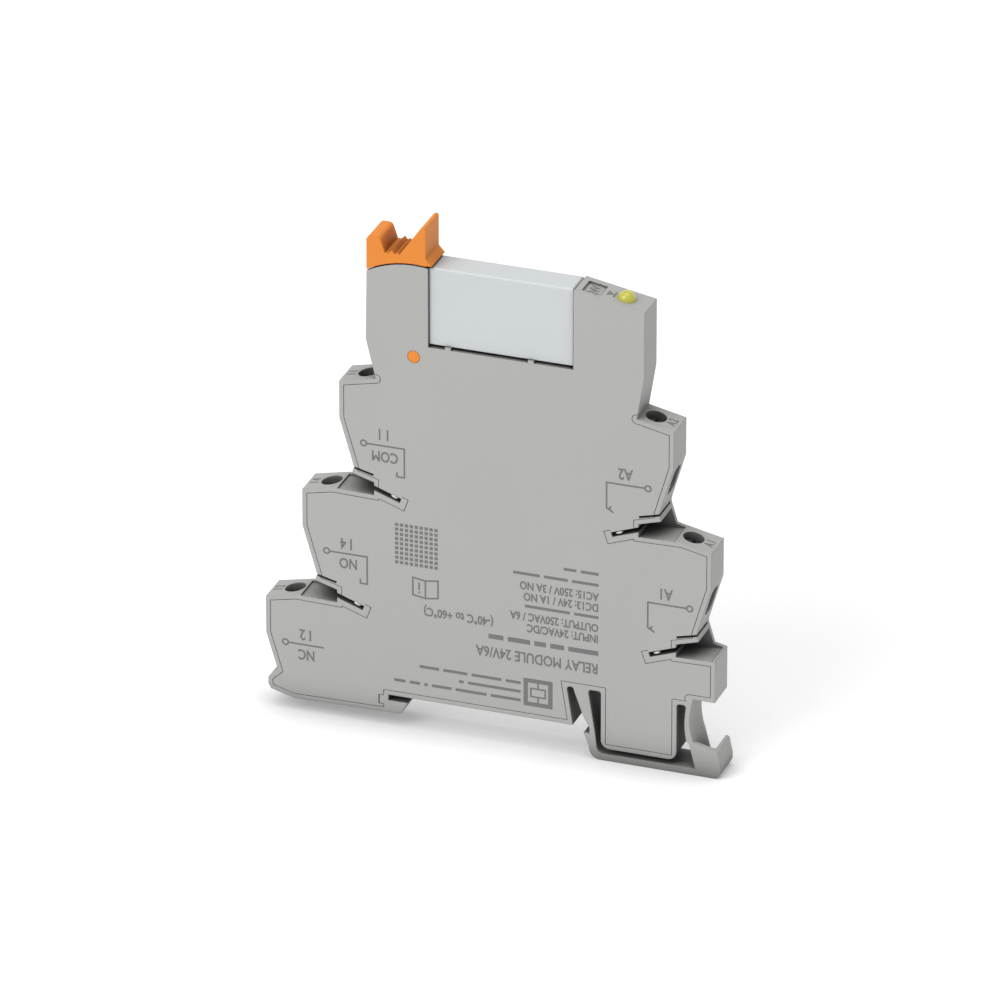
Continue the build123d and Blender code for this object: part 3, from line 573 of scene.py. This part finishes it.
def dotted_square(left_x, low_z, rows, pitch, wide):
    """Even rows of square dots, as many each way."""
    bm = bmesh.new()
    for i in range(rows):
        for j in range(rows):
            x, z = left_x + pitch * i, low_z + pitch * j
            add_bar(bm, on_face(x - wide / 2, z), on_face(x + wide / 2, z), wide * MM)
    mesh_piece("dotted_square", bm, ink)


def open_book(spine_x, low_z, page, high, sag):
    """Open book with an i on one page."""
    bm = bmesh.new()
    pages = [(spine_x - page, low_z + sag), (spine_x, low_z), (spine_x + page, low_z + sag)]
    pages += [(x, z + high) for x, z in pages[::-1]]
    add_path(bm, pages, closed=True)
    add_path(bm, [(spine_x, low_z), (spine_x, low_z + high)], raised=overprint)
    for low, top in ((1.45, 2.75), (0.8, 1.1)):
        add_path(bm, [(spine_x - page / 2, low_z + low), (spine_x - page / 2, low_z + top)])
    mesh_piece("open_book", bm, ink)


def box_corners(left, right, low, top):
    """Corners of an upright box, from its sides."""
    return [(left, low), (right, low), (right, top), (left, top)]


def coil_frame(left, right, low, top, wide):
    """Bold frame round a coil's circuit symbol: a box with a lead above and below."""
    bm = bmesh.new()
    add_path(bm, box_corners(left, right, low, top), wide, closed=True)
    coil_low, coil_top = low + coil_lead, top - coil_lead
    add_path(bm, box_corners(left + coil_inset, right - coil_inset, coil_low, coil_top), closed=True)
    middle = (left + right) / 2
    add_path(bm, [(middle, low), (middle, coil_low)], raised=overprint)
    add_path(bm, [(middle, coil_top), (middle, top)], raised=overprint)
    mesh_piece("coil_frame", bm, ink)


dotted_square(-16.0, 24.8, rows=9, pitch=0.86, wide=0.56)
open_book(-11.0, 18.9, page=2.2, high=3.2, sag=0.35)
coil_frame(6.5, 10.8, 2.6, 6.9, wide=0.75 * MM)

# Terminal numbers on the tiers' tops and marks beside the light

tilt = radians(12.1)
middle_x = 3.0
mark_x, mark_z = -37.85, 14.87
tier_in, tier_up = 6.6, 20.8
head_left, head_left_top = 14.6, 78.8
head_right, head_right_top = 26.7, 76.6
mark_recess = 0.4
tier_words = {"11": (2, -1), "14": (1, -1), "12": (0, -1), "A2": (2, 1), "A1": (1, 1)}
tier_type, head_type = 1.6, 1.7
volts_x = 17.2
arrow_back, arrow_tip, bar_front, symbol_half = 19.4, 20.5, 20.8, 0.9


def lying(normal):
    """The turn of a word that lies on a sloping top and reads across it."""
    depth = Vector((0, 1, 0))
    return Matrix((depth, normal.cross(depth), normal)).transposed()


for word, (level, side) in tier_words.items():
    x = middle_x - side * (mark_x + tier_in * level - middle_x)
    normal = Vector((side * sin(tilt), 0, cos(tilt)))
    place = Vector((x, 0, mark_z + tier_up * level)) * MM + normal * print_lift
    printed_word("top_" + word.lower(), word, place, lying(normal), tier_type, spacing=wide_set)

head_slope = (head_right_top - head_left_top) / (head_right - head_left)
head_normal = Vector((-head_slope, 0, 1)).normalized()


def on_head(x, y, drop=0.0):
    """A point of the head's sloping top, or of the marking recess in it."""
    z = head_left_top + head_slope * (x - head_left) - drop
    return Vector((x, y, z)) * MM + head_normal * print_lift


volts_place = on_head(volts_x, 0.0, mark_recess)
printed_word("mark_volts", "24V", volts_place, lying(head_normal), head_type)


def lamp_symbol():
    """Diode symbol beside the light: a triangle and a bar."""
    bm = bmesh.new()
    triangle = [(arrow_back, -symbol_half), (arrow_back, symbol_half), (arrow_tip, 0.0)]
    for outline in (triangle, box_corners(arrow_tip, bar_front, -symbol_half, symbol_half)):
        low = [bm.verts.new(on_head(x, y)) for x, y in outline]
        high = [bm.verts.new(on_head(x, y) + head_normal * print_thick) for x, y in outline]
        bm.faces.new(low[::-1])
        bm.faces.new(high)
        for i in range(len(low)):
            j = (i + 1) % len(low)
            bm.faces.new((low[i], low[j], high[j], high[i]))
    mesh_piece("mark_lamp", bm, ink)


lamp_symbol()


# Rounded contact tips that show in the bridge slots, long along the slot

tip_profile = ((0.0, 0.3), (0.62, 0.3), (0.76, 0.26), (0.85, 0.16), (0.88, 0.04))
tip_back = 2.0
tip_long = 2.3
tip_segments = 24
tip_foot = 0.4 * MM
slot_slope = radians(19.4)
slot_drop = 0.2 * MM


def contact_tip(name):
    """Oval tip on a current bar's tongue, on the middle line of its slot."""
    spots = [vertex.co for vertex in nodes[name].data.vertices]
    low = min(spot.z for spot in spots)
    foot = [spot for spot in spots if spot.z < low + tip_foot]
    centre = Vector((sum(spot.x for spot in foot), 0, sum(spot.z for spot in foot))) / len(foot)
    side = -1 if centre.x < middle_x * MM else 1
    along = Vector((-side * cos(slot_slope), 0, -sin(slot_slope)))
    up = Vector((-side * sin(slot_slope), 0, cos(slot_slope)))
    centre -= up * slot_drop
    bm = bmesh.new()
    rings = []
    for reach, radius in tip_profile:
        ring = []
        for i in range(tip_segments):
            turn = 2 * pi * i / tip_segments
            spot = (along * tip_long * cos(turn) + up * sin(turn)) * radius * MM
            ring.append(bm.verts.new(centre + spot - Vector((0, (tip_back + reach) * MM, 0))))
        rings.append(ring)
    for near_ring, far_ring in zip(rings, rings[1:]):
        for i in range(tip_segments):
            j = (i + 1) % tip_segments
            bm.faces.new((near_ring[i], near_ring[j], far_ring[j], far_ring[i]))
    bm.faces.new(rings[0])
    bm.faces.new(rings[-1][::-1])
    for face in bm.faces:
        face.smooth = True
    mesh_piece(name.replace("current_bar", "contact_tip"), bm, silver)


for name in ("11", "14", "a2", "a1"):
    contact_tip("current_bar_" + name)


# Stage, lights and camera

floor_z = cad_box[0][2] - 0.05 * MM
floor_half = 3.0
floor_white = (0.93, 0.93, 0.93)
floor_lift = 0.27
# Reach and depth of the painted shade that darkens the floor close under the object
shade_reach, shade_samples = 12.0 * MM, 8
shade_low, shade_from = 0.6, 0.45
fill_light = 0.45
azimuth = radians(19.7)
elevation = radians(26.3)
lens_mm, sensor_mm = 392.0, 36
distance = 1.78
clip_near, clip_far = 0.05, 20
aim = Vector((0.9 * MM, 0, 37.5 * MM))
softboxes = {
    "key": ((-0.5, -0.9, 0.9), 0.8, 8.1),
    "top": ((0.1, -0.1, 1.2), 0.9, 4.8),
}


def background_rays(tree):
    """One for the rays that show the background: camera, glossy and transmission rays."""
    rays = tree.nodes.new("ShaderNodeLightPath")
    level = rays.outputs["Is Camera Ray"]
    for kind in ("Is Glossy Ray", "Is Transmission Ray"):
        either = tree.nodes.new("ShaderNodeMath")
        either.operation = "MAXIMUM"
        tree.links.new(level, either.inputs[0])
        tree.links.new(rays.outputs[kind], either.inputs[1])
        level = either.outputs["Value"]
    return level


def stage_material(name, colour):
    """Pale studio floor: white to the camera, with its shadow, and painted shade close under things.
    """
    material, tree, shader, _ = new_material(name)
    # Painted shade: ambient occlusion darkens the floor's colour close under the object, as a contact
    # shadow
    painted_contact_shade = tree.nodes.new("ShaderNodeAmbientOcclusion")
    painted_contact_shade.samples = shade_samples
    painted_contact_shade.inputs["Distance"].default_value = shade_reach
    shaded(tree, shader, colour, ramp(tree, painted_contact_shade.outputs["AO"], shade_low, 1.0, shade_from, 1.0))
    shader.inputs["Roughness"].default_value = 0.9
    shader.inputs["Specular IOR Level"].default_value = 0.1
    lift = tree.nodes.new("ShaderNodeMath")
    lift.operation = "MULTIPLY"
    lift.inputs[1].default_value = floor_lift
    tree.links.new(background_rays(tree), lift.inputs[0])
    shader.inputs["Emission Color"].default_value = (1, 1, 1, 1)
    tree.links.new(lift.outputs["Value"], shader.inputs["Emission Strength"])
    return material


def make_floor():
    """Wide flat floor just under the object."""
    bm = bmesh.new()
    bmesh.ops.create_grid(bm, x_segments=2, y_segments=2, size=floor_half)
    mesh = bpy.data.meshes.new("floor")
    bm.to_mesh(mesh)
    bm.free()
    mesh.materials.append(stage_material("floor_white", floor_white))
    floor = bpy.data.objects.new("floor", mesh)
    bpy.context.scene.collection.objects.link(floor)
    floor.location = (0, 0, floor_z)


def make_world():
    """Even white surround: full white to the camera, softer on the object."""
    world = bpy.data.worlds.new("studio")
    bpy.context.scene.world = world
    world.use_nodes = True
    tree = world.node_tree
    tree.nodes.clear()
    out = tree.nodes.new("ShaderNodeOutputWorld")
    fill = tree.nodes.new("ShaderNodeBackground")
    fill.inputs["Color"].default_value = (1, 1, 1, 1)
    fill.inputs["Strength"].default_value = fill_light
    white = tree.nodes.new("ShaderNodeBackground")
    white.inputs["Color"].default_value = (1, 1, 1, 1)
    white.inputs["Strength"].default_value = 1.0
    mix = tree.nodes.new("ShaderNodeMixShader")
    tree.links.new(background_rays(tree), mix.inputs["Fac"])
    tree.links.new(fill.outputs["Background"], mix.inputs[1])
    tree.links.new(white.outputs["Background"], mix.inputs[2])
    tree.links.new(mix.outputs["Shader"], out.inputs["Surface"])


def soft_light(name, place, size, power):
    """Square softbox that faces the object."""
    data = bpy.data.lights.new(name, "AREA")
    data.size = size
    data.energy = power
    lamp = bpy.data.objects.new(name, data)
    bpy.context.scene.collection.objects.link(lamp)
    lamp.location = place
    lamp.rotation_euler = (aim - Vector(place)).to_track_quat("-Z", "Y").to_euler()


def make_camera():
    """Long lens from the right and above, aimed at the object's middle."""
    data = bpy.data.cameras.new("camera")
    data.lens = lens_mm
    data.sensor_width = sensor_mm
    data.clip_start = clip_near
    data.clip_end = clip_far
    camera = bpy.data.objects.new("camera", data)
    bpy.context.scene.collection.objects.link(camera)
    away = Vector((sin(azimuth) * cos(elevation), -cos(azimuth) * cos(elevation), sin(elevation)))
    camera.location = aim + away * distance
    camera.rotation_euler = away.to_track_quat("Z", "Y").to_euler()
    bpy.context.scene.camera = camera


make_floor()
make_world()
for name, (place, size, power) in softboxes.items():
    soft_light(name, place, size, power)
make_camera()
bpy.context.scene.view_settings.view_transform = "Standard"
